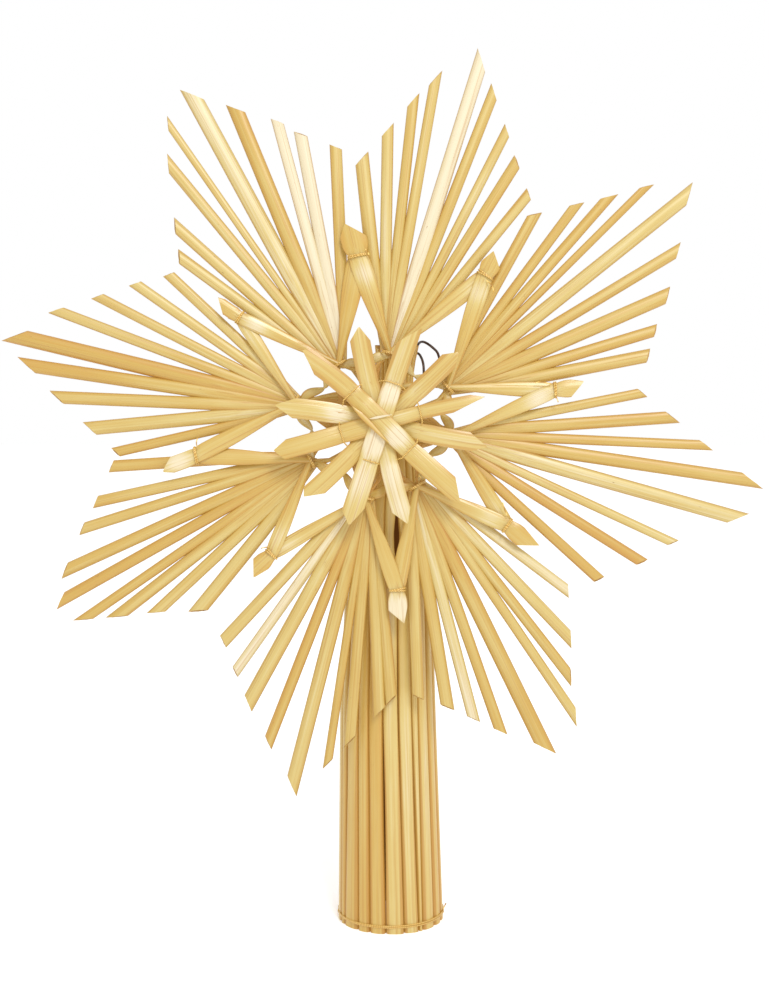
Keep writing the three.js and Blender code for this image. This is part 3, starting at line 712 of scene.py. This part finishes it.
BRIDGE_ROOT = 1.15
BRIDGE_TIE_DEPTH = 3.4
BEHIND_HALF = 2.9
BEHIND_PAINTED_SHEEN = 0.2
BEHIND_LIFT, FRONT_LIFT = 0.1, 1.5
print("bridges:", len(BRIDGES))


# %% Straws of a bridge
def pointed(left_reach, tip_reach, tip_side, right_reach):
    """How far an end with two cuts reaches, as a function of the side from -1 to 1."""
    def reach(side):
        if side < tip_side:
            return left_reach + (tip_reach - left_reach) * (side + 1) / (tip_side + 1)
        return right_reach + (tip_reach - right_reach) * (1 - side) / max(1 - tip_side, 0.05)

    return reach


def bridge_straw(fan, bridge, outline, forward, tone, painted_sheen_amount):
    """A flattened straw from a fan's tie over the bridge's tie to its point."""
    start = polar(*fan["tie"], -BRIDGE_DEPTH)
    knot = polar(*bridge["tie"], -BRIDGE_DEPTH - forward)
    way, length = (knot - start).normalized(), (knot - start).length
    outward = polar(1, bridge["out"])
    left_reach, left, tip_reach, tip_place, right_reach, right = outline
    tip_side = tip_place / (left if tip_place < 0 else right)

    def run(distance):
        gripped = math.exp(-((distance - length) / 2.4) ** 2)
        beyond = ease(distance, length, length + 4.5)
        widening = ease(distance, -2, 0.8 * length)
        before = BRIDGE_ROOT + (bridge["grip"] * 1.06 - BRIDGE_ROOT) * widening
        middle = start + way * min(distance, length) + outward * max(distance - length, 0)
        deep = 0.24 + 0.30 * ease(distance, 4, 22) * (1 - gripped)
        return (middle, before * (1 - beyond) + left * beyond - 0.35 * gripped,
                before * (1 - beyond) + right * beyond - 0.35 * gripped, deep)

    # Painted sheen: a paler stretch of tone by the knot, where the straw would catch the light.
    def tone_shift_and_painted_sheen(distance):
        return painted_sheen_amount * math.exp(-((distance - length - bridge.get("painted_sheen_at", -7)) / 6) ** 2)

    return lay(flat_straw, run, length, far=pointed(left_reach, tip_reach, tip_side, right_reach),
               roll=chance.uniform(-3, 3), box=0.45, curl=0.15, fold=0.45, tone=tone, tone_shift_and_painted_sheen=tone_shift_and_painted_sheen)


def point_behind(reach):
    """The outline of the straw behind, beyond the thread: a plain point."""
    return reach * 0.6, BEHIND_HALF, reach, 0.8, reach * 0.5, BEHIND_HALF


for index, bridge in enumerate(BRIDGES):
    fan, following = FANS[index], FANS[(index + 1) % 8]
    number = f"{index + 1}_{(index + 1) % 8 + 1}"
    front_tone, behind_tone = bridge["tones"]
    pair = [bridge_straw(fan, bridge, point_behind(bridge["back"]), BEHIND_LIFT, behind_tone,
                         BEHIND_PAINTED_SHEEN),
            bridge_straw(following, bridge, bridge["outline"], FRONT_LIFT, front_tone,
                         bridge["tone_shift_and_painted_sheen"])]
    gather(f"bridge_straws_{number}", pair, star_place, flat_finish,
           [f"bridge_{number}"])
    knot = polar(*bridge["tie"], -BRIDGE_TIE_DEPTH)
    toward = polar(1, (bridge["out"] + bridge["tie"][1]) / 2)
    threads = turns_round(knot, toward, half_width=bridge["grip"] - 0.1, half_depth=1.3)
    gather(f"bridge_thread_{number}", threads, star_place, thread_material, [])
print("bridges laid")

# %% [markdown]
# ## The heart
# Inside the ring of ties the straws run on. Half of each bundle is tied to half of its
# neighbour's a little way in, and from there all of them cross behind the rosette. The outermost
# straw is left out of the bundle: it is wider and runs straight from one tie to the next, like a
# pair of leaves.

# %% Heart
INNER_TIE = 14.0
HALF_BUNDLE = 5
PITCH_AT_TIE, PITCH_AT_INNER_TIE = 0.66, 1.15
CRUSHED = 0.36
LEAF_ROOT, LEAF_SWELL = 0.4, 1.5


def inner_tie(index):
    """Where a fan's inner straws are tied to those of the next fan clockwise."""
    here, following = (polar(1, FANS[i % 8]["tie"][1]) for i in (index, index + 1))
    return (here + following).normalized() * INNER_TIE


def inner_straws(fan, inner, side):
    """The crushed straws from a fan's tie to one of its inner ties and on to the crossing."""
    tie = polar(*fan["tie"])
    made = []
    for place in range(HALF_BUNDLE):
        start = tie + clockwise_of(tie) * side * (0.15 + PITCH_AT_TIE * place)
        start += BACK * chance.uniform(-1.0, 0.3)
        stop = inner - clockwise_of(inner) * side * (place - 2.2) * PITCH_AT_INNER_TIE
        stop += BACK * chance.uniform(-1.6, 0.6)
        beyond = -inner * 0.25 + BACK * chance.uniform(-1.5, 1.5)
        curve = through([start * 1.04, start, stop, beyond])

        def run(share, curve=curve):
            opened = ease(share, 0.25, 0.75)
            half = CRUSHED + opened
            return curve(share), half, half, CRUSHED + 0.34 * opened

        made.append(lay(round_straw, run, 1, roll=chance.uniform(-25, 25),
                        tone=chance.uniform(-0.1, 0.45), wear=0.3, step=0.03))
    return made


def leaf(fan, following):
    """The wide straw that runs from one tie to the next, pinched at both and in the middle."""
    start, stop = polar(*fan["tie"]) * 0.96, polar(*following["tie"]) * 0.96
    middle = start.lerp(stop, 0.5)
    curve = through([start, start.lerp(middle, 0.5) * 1.02 - BACK * 1.4, middle * 0.93 - BACK * 0.6,
                     stop.lerp(middle, 0.5) * 1.02 - BACK * 1.4, stop])

    def run(share):
        swelling = abs(math.sin(math.tau * min(max(share, 0), 1))) ** 0.8
        half = LEAF_ROOT + LEAF_SWELL * swelling
        return curve(share), half, half, 0.25 + 0.22 * half

    return lay(flat_straw, run, 1, tone=chance.uniform(0.30, 0.72), step=0.03)


heart = []
for index, fan in enumerate(FANS):
    heart += inner_straws(fan, inner_tie(index), 1)
    heart += inner_straws(fan, inner_tie(index - 1), -1)
    heart.append(leaf(fan, FANS[(index + 1) % 8]))
gather("heart_straws", heart, star_place, fan_finish, ["heart"])
inner_threads = []
for index in range(len(FANS)):
    inner = inner_tie(index)
    inner_threads += turns_round(inner, inner.normalized(), half_width=2.9, half_depth=1.9)
gather("heart_threads", inner_threads, star_place, thread_material, [])
print("heart woven:", len(heart), "straws")

# %% [markdown]
# ## Loose ends of thread
# Where a thread was knotted and snipped, a short end stands off. Each is a thin rod along a curve
# through three or four points, which start at the knot and curl as the end does.

# %% Loose ends of thread
TAIL_THREAD = 0.2
TAILS = [
    ((49.3, -5.2, -37.0), (48.3, -5.7, -34.9), (47.4, -5.4, -31.6)),
    ((67.5, -5.0, 9.8), (68.2, -5.4, 8.2), (68.8, -5.2, 6.5)),
    ((66.0, -4.8, 13.4), (63.9, -5.2, 14.1), (61.8, -5.0, 14.3), (60.1, -4.6, 14.0)),
    ((-68.6, -5.0, -6.7), (-69.1, -5.4, -8.6), (-69.0, -5.2, -10.4)),
    ((-41.4, -4.8, -48.5), (-43.0, -5.2, -48.7), (-44.4, -5.0, -49.1)),
    ((-4.8, -5.0, 65.4), (-3.8, -5.6, 64.2), (-3.4, -5.4, 62.8)),
    ((41.6, -5.0, 53.4), (43.6, -5.8, 51.3), (44.3, -5.6, 48.8)),
    ((14.2, -2.8, -22.2), (15.9, -3.2, -21.6), (16.4, -3.0, -23.2), (15.4, -2.8, -24.3)),
]
gather("thread_tails", [strand(points, TAIL_THREAD) for points in TAILS], star_place,
       thread_material, [])
print("loose ends:", len(TAILS))

# %% [markdown]
# ## The rosette
# Six straws were slit, soaked and ironed flat. They cross in the middle in a stack, and a thread
# runs round in front of the three upper ones and behind the three lower ones, which draws them
# in and makes them stand out again beyond it. That is where the silky surface catches the light.
# Each end is trimmed with two cuts: the rows give, for both ends of a strip, the direction at
# the thread and at the end, then the reach on its anticlockwise edge, the reach and the place
# across of its tip, and the reach on its clockwise edge. The gleams are painted sheen, silvery
# stretches where a strip would catch the light: where along the strip, how long and how pale.
# Two slivers, split off while ironing, lie over the crossing.

# %% Rosette dimensions
STRIPS = [
    dict(halves=(3.6, 3.9), tone=0.58, painted_sheens=[(17, 5, 0.40)],
         ends=[(-14.8, -12.5, 34.3, 41.5, 0.3, 35.4), (169.2, 171.4, 33.4, 40.6, 0.15, 32.3)]),
    dict(halves=(3.6, 3.6), tone=0.50, painted_sheens=[(-17, 4, 0.15)],
         ends=[(39.2, 41.6, 34.8, 39.9, 0.1, 34.3), (-131.3, -133.9, 33.8, 40.5, 0.2, 38.2)]),
    dict(halves=(3.85, 3.65), tone=0.54, painted_sheens=[(21, 8, 0.40), (34, 6, 0.34)],
         ends=[(106.1, 103.4, 32.1, 37.2, 0.1, 31.2), (-78.4, -76.6, 34.4, 40.2, -0.25, 34.2)]),
    dict(halves=(2.8, 3.7), tone=0.45, painted_sheens=[(-9, 5, 0.18)],
         ends=[(13.4, 12.0, 35.3, 40.8, -0.4, 27.8), (-162.3, -163.5, 38.4, 41.8, 0.2, 36.2)]),
    dict(halves=(3.8, 4.0), tone=0.56, painted_sheens=[(-11, 4, 0.55), (9, 4.5, 0.5), (24, 8, 0.30)],
         ends=[(71.6, 71.1, 30.3, 38.9, 0.95, 32.8), (-106.4, -107.1, 33.1, 41.1, -0.1, 36.0)]),
    dict(halves=(3.75, 3.95), tone=0.47, painted_sheens=[(8.5, 4.5, 0.62)],
         ends=[(134.3, 138.8, 30.9, 39.9, 0.4, 37.5), (-44.0, -42.9, 35.2, 42.5, 0.5, 39.1)]),
]
SLIVERS = [((-10.4, -11.3, 5.6), (3.2, -11.6, -8.2), 1.0, 0.36),
           ((-4.0, -11.5, 0.9), (4.4, -11.7, 2.5), 0.5, 1.5)]
FIRST_UPPER = 3
ROSETTE_DEPTH = 8.1
STACK_PITCH = 0.95
THREAD_RADIUS = 15.5
END_RADIUS = 36
print("strips in the rosette:", len(STRIPS))


# %% Straws of the rosette
def strip_depth(order, radius):
    """How far before the star's plane a strip lies at a radius."""
    drawn = ease(radius, 8, THREAD_RADIUS)
    stacked = (order - 2.5) * STACK_PITCH
    in_plane = 0.5 if order >= FIRST_UPPER else -0.5
    spring = 1.5 * math.sin(math.pi * min(max((radius - THREAD_RADIUS) / 34, 0), 1))
    return -ROSETTE_DEPTH - stacked * (1 - drawn) - in_plane * drawn - spring


def strip(order):
    """A flattened straw across the rosette."""
    row = STRIPS[order]
    near_end, far_end = row["ends"]

    def middle(distance):
        """Straight from thread to thread, and turned a little towards its end beyond it."""
        end, other = (far_end, near_end) if distance > 0 else (near_end, far_end)
        at_thread, at_end = end[:2]
        radius = abs(distance)
        if radius < THREAD_RADIUS:
            start, stop = polar(THREAD_RADIUS, other[0]), polar(THREAD_RADIUS, at_thread)
            place = start.lerp(stop, 0.5 + radius / THREAD_RADIUS / 2)
            place.y = strip_depth(order, radius)
            return place
        share = min((radius - THREAD_RADIUS) / (END_RADIUS - THREAD_RADIUS), 1.3)
        return polar(radius, at_thread + (at_end - at_thread) * share, strip_depth(order, radius))

    def run(distance):
        pinch = math.exp(-((abs(distance) - THREAD_RADIUS) / 2.0) ** 2)
        toward_far = ease(distance, -10, 10)
        half = row["halves"][0] * (1 - toward_far) + row["halves"][1] * toward_far
        half *= 1 - 0.06 * pinch
        return middle(distance), half, half, 0.20 + 0.16 * (1 - pinch)

    # Painted sheen: paler stretches of tone where the strip would catch the light.
    def tone_shift_and_painted_sheen(distance):
        return sum(amount * math.exp(-((distance - place) / spread) ** 2)
                   for place, spread, amount in row["painted_sheens"])

    far, near = pointed(*far_end[2:]), pointed(*near_end[2:])
    return lay(flat_straw, run, 0, far=far, near=lambda side: -near(-side), box=0.4,
               curl=0.12, fold=0.42, tone=row["tone"], tone_shift_and_painted_sheen=tone_shift_and_painted_sheen, wear=0.1)


def sliver(start, stop, half, tone):
    """A narrow strip of split straw that lies over the crossing and tapers to a point."""
    first, last = Vector(start), Vector(stop)
    length = (last - first).length

    def run(distance):
        share = min(max(distance / length, 0), 1)
        wide = half * min(1, 0.3 + 3 * share) * (1 - 0.85 * share ** 3)
        return first + (last - first) * (distance / length), wide, wide, 0.12

    return lay(flat_straw, run, length, box=0.5, fold=0.2, tone=tone)


for order in range(len(STRIPS)):
    laid = [strip(order)]
    if order == len(STRIPS) - 1:
        laid += [sliver(*row) for row in SLIVERS]
    gather(f"rosette_straw_{order + 1}", laid, rosette_place, flat_finish,
           [f"rosette_strip_{order + 1}"])
print("rosette crossed")

# %% Rosette thread
ROSETTE_THREAD = 0.25
THREAD_BEFORE, THREAD_BEHIND = 1.02, 1.25
STEP_SPREAD = 5.5
ACROSS_STRIP = 17


def rosette_ring(share):
    """The thread's way round: before the upper strips, behind the lower ones."""
    direction = share * 360
    depth, total, reach = 0.0, 1e-6, THREAD_RADIUS
    for order, row in enumerate(STRIPS):
        for end in row["ends"]:
            apart = abs((direction - end[0] + 180) % 360 - 180)
            weight = math.exp(-(apart / STEP_SPREAD) ** 2)
            depth += weight * (-THREAD_BEFORE if order >= FIRST_UPPER else THREAD_BEHIND)
            total += weight
            if order >= FIRST_UPPER and apart < ACROSS_STRIP:
                reach = THREAD_RADIUS / math.cos(math.radians(apart))
    return polar(reach, direction, -ROSETTE_DEPTH + depth / total)


gather("rosette_thread_turns", [wound(rosette_ring, ROSETTE_THREAD)], rosette_place,
       thread_material, ["rosette_thread"])
print("rosette tied")

# %% [markdown]
# ## The socket
# Twenty-two straws stand on end round an oval that narrows from the foot to a gathered neck
# behind the heart. They are nearly round at the foot and crushed at the neck. Their seams slant a
# little and open here and there, where the straws have dried and drawn apart. The rows of the
# profile give a height and there the oval's half width, its half depth, how far it is shifted to
# the right, and half the depth of a straw.

# %% The socket's oval
SOCKET_STRAWS = 22
PROFILE = [(0, 18.7, 18.7, 0, 1.9), (83.5, 17.1, 15.6, -1.2, 1.8),
           (159.5, 14.6, 10.5, -0.5, 1.6), (210.5, 5.6, 5.2, 1.4, 1), (225, 7.6, 5.6, 2.4, 1.2)]
SOCKET_HEIGHT = PROFILE[-1][0]


def profile_at(height):
    """The profile between its rows."""
    height = min(max(height, 0), SOCKET_HEIGHT)
    for low, high in zip(PROFILE, PROFILE[1:]):
        if height <= high[0]:
            share = (height - low[0]) / (high[0] - low[0])
            return [a + (b - a) * share for a, b in zip(low[1:], high[1:])]
    return list(PROFILE[-1][1:])


def smooth_profile(height):
    """The same, rounded off where the runs of the profile meet."""
    if height < 12 or height > 215:
        return profile_at(height)
    samples = [profile_at(height + step) for step in (-9, -4.5, 0, 4.5, 9)]
    weights = (0.12, 0.22, 0.32, 0.22, 0.12)
    return [sum(w * s[i] for w, s in zip(weights, samples)) for i in range(4)]


def oval(height, turn):
    x, y, shift, _ = smooth_profile(height)
    return Vector((shift + x * math.cos(turn), y * math.sin(turn), height))


print("socket height:", SOCKET_HEIGHT, "mm")

# %% Seams between the socket straws
SLIT_STRAW, SLIT_HEIGHT = 17, 150
SEAM_SHIFTS = {16: (0.15, 0.0), 17: (0.42, 0.05), 18: (0.5, 0.1), 13: (-0.3, 0.15)}
WIDE_SEAMS = {13: (62, 0.16), 16: (45, 0.10), 18: (40, 0.10)}
seams = [SEAM_SHIFTS.get(index, (chance.uniform(-0.26, 0.26), chance.uniform(-0.14, 0.14)))
         for index in range(SOCKET_STRAWS)]
shrunk = [WIDE_SEAMS.get(index, (chance.uniform(10, 150), chance.uniform(0.0, 0.08)))
          for index in range(SOCKET_STRAWS)]


def seam(index, height):
    """Which way from the axis the seam before a straw lies: seams slant a little."""
    at_foot, at_top = seams[index % SOCKET_STRAWS]
    share = height / SOCKET_HEIGHT
    return math.tau * (index + at_foot * (1 - share) + at_top * share) / SOCKET_STRAWS


def socket_fill(index, height):
    """How much of its room a straw takes beside a seam: straws dry and draw apart a little."""
    place, amount = shrunk[index % SOCKET_STRAWS]
    dry = amount * math.exp(-((height - place) / 30) ** 2)
    if index == SLIT_STRAW:
        dry += 0.5 * math.exp(-((height - SLIT_HEIGHT) / 9) ** 2)
    return 0.995 - dry


print("seams:", len(seams), "and one slit, at", SLIT_HEIGHT, "mm")

# %% Socket straws
for index in range(SOCKET_STRAWS):
    turn = math.tau * (index + 0.5) / SOCKET_STRAWS
    outward = Vector((math.cos(turn), math.sin(turn), 0))

    def run(height, index=index):
        right, left = seam(index, height), seam(index + 1, height)
        middle = oval(height, (right + left) / 2)
        half = (oval(height, left) - oval(height, right)).length / 2
        return (middle, half * socket_fill(index + 1, height), half * socket_fill(index, height),
                smooth_profile(height)[3])

    end = chance.uniform(-1.6, 0)
    patch = chance.uniform(0, 200)

    def tone_shift_and_painted_sheen(height, patch=patch):
        return 0.14 * math.exp(-((height - patch) / 30) ** 2)

    straw = lay(flat_straw, run, SOCKET_HEIGHT, far=lambda side, end=end: end + 0.3 * side,
                box=0.5, square=Vector((0, 0, 1)), back=outward, tone=chance.uniform(0.32, 0.60),
                tone_shift_and_painted_sheen=tone_shift_and_painted_sheen, wear=0.25)
    gather(f"socket_straw_round_{index + 1:02d}", [straw], socket_place, socket_finish,
           [f"socket_straw_{index + 1:02d}"])
print("socket straws:", SOCKET_STRAWS)

# %% [markdown]
# ## Thread and wire of the socket
# Two turns of thread hold the straws together round the foot. They dip in between the straws, and
# a snipped end stands up at the right. A dark wire goes once round the neck, where it holds the
# star, and its spare length is bent into loops beside it. Both could be curves with Bevel. They
# are made with the helpers of the other ties, so one finish serves all thread: the turns are bent
# tori, and the wire is a rod along a smooth curve, with more rings for its tight bends.

# %% Socket thread
FOOT_THREAD_HEIGHT = 2.5
FOOT_THREAD_SINK = 0.05
DIP = 0.35
SNIPPED_END = [(19.9, -5.0, 2.8), (20.6, -4.8, 4.6), (21.6, -4.9, 6.6)]
SNIPPED_THREAD = 0.22


def foot_ring(share, lift=0.0):
    turn = share * math.tau
    x, y, _, radius = smooth_profile(FOOT_THREAD_HEIGHT)
    out = radius - FOOT_THREAD_SINK + DIP * abs(math.sin(turn * SOCKET_STRAWS / 2))
    return Vector(((x + out) * math.cos(turn), (y + out) * math.sin(turn),
                   FOOT_THREAD_HEIGHT + lift))


def second_ring(share):
    return foot_ring(share, 0.5 + 0.2 * math.sin(share * 9))


rings = [wound(foot_ring), wound(second_ring), strand(SNIPPED_END, SNIPPED_THREAD)]
gather("socket_thread_turns", rings, socket_place, thread_material, ["socket_thread"])
print("foot sewn")

# %% Binding wire
WIRE = 0.5
NECK_HEIGHT = 207
NECK_ROOM = 2.1
ROUND_THE_NECK = (0.02, 0.15, 0.3, 0.45, 0.6, 0.75, 0.88)
SPARE_LOOPS = [
    (13.4, -3, 212), (18.8, -2, 216.5), (18.6, -2, 221.3), (16.4, -2, 224), (13.2, -0.5, 226.2),
    (11.2, 4, 226), (10, 5.6, 222.9), (11.6, 3.4, 221.2), (12.8, 0, 217.6), (13, -1.5, 212)]
neck_x, neck_y, neck_shift, _ = smooth_profile(NECK_HEIGHT)
wire_points = [(neck_shift + (neck_x + NECK_ROOM) * math.cos(math.tau * turn),
                (neck_y + NECK_ROOM) * math.sin(math.tau * turn), NECK_HEIGHT - 1 + 0.35 * i)
               for i, turn in enumerate(ROUND_THE_NECK)]
wire_rod = unit_tube("wire_rod", 10, 120, 0)
wire = strand(wire_points + SPARE_LOOPS, WIRE, wire_rod)
gather("wire_turn", [wire], socket_place, wire_material, ["binding_wire"])
print("socket tied")

# %% [markdown]
# ## The hoop
# The flat ring inside the foot stays as the CAD made it. Its mesh carries no attributes, so its
# straw reads Object coordinates instead, stretched round the ring.

# %% Hoop material
def hoop_finish():
    board = Board("straw_hoop")
    place = board.node("ShaderNodeTexCoord", {}, {}, "Object")
    bands = board.noise(place, (120, 120, 2600), 3)
    colour = board.ramp(bands, [(0.3, GOLD), (0.7, YELLOW)])
    return board.finish(Base_Color=colour, Roughness=0.5, Normal=board.bump(bands, 0.4, 0.0002))


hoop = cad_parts["socket_hoop"]
hoop.data.materials.clear()
hoop.data.materials.append(hoop_finish())
print("hoop:", hoop.name)

# %% Put the masters away
for master in (round_straw, flat_straw, rod, wire_rod, loop):
    bpy.data.objects.remove(master)
print("masters put away")

# %% [markdown]
# ## Floor and light
# A wide sheet of white paper is the floor, and the white room behind it is nearly as bright. One
# soft lamp stands above and a little to the right, so that shadows fall down and slightly left,
# and the room fills them.

# %% Floor, lamp and room
PAPER_TONES = [(0.3, (0.90, 0.90, 0.895)), (0.7, (0.93, 0.93, 0.925))]
LAMP_PLACE = (0.34, -1.0, 1.1)
LAMP_AIM = Vector((0, 0, 0.19))
LAMP_WATTS, LAMP_SIZE = 11.2, 0.43
bpy.ops.mesh.primitive_plane_add(size=14, location=(0, 3.0, 0))
paper = bpy.context.object
paper.name = "paper"
board = Board("white_paper")
paper_grain = board.noise(board.node("ShaderNodeTexCoord", {}, {}, "Object"), (300, 300, 300), 2)
board.finish(Base_Color=board.ramp(paper_grain, PAPER_TONES), Roughness=0.9,
             Emission_Color=(1, 1, 1, 1), Emission_Strength=0.2)
paper.data.materials.append(board.material)

bpy.ops.object.light_add(type="AREA", location=LAMP_PLACE)
key = bpy.context.object
key.name = "key_lamp"
key.data.energy, key.data.size = LAMP_WATTS, LAMP_SIZE
key.rotation_euler = (LAMP_AIM - key.location).to_track_quat("-Z", "Y").to_euler()
room = bpy.data.worlds.new("white_room")
room.use_nodes = True
walls = room.node_tree.nodes["Background"].inputs
walls["Color"].default_value = (1.0, 1.0, 1.0, 1)
walls["Strength"].default_value = 1.0
bpy.context.scene.world = room
bpy.context.scene.view_settings.view_transform = "Standard"
print("lamp:", key.name)
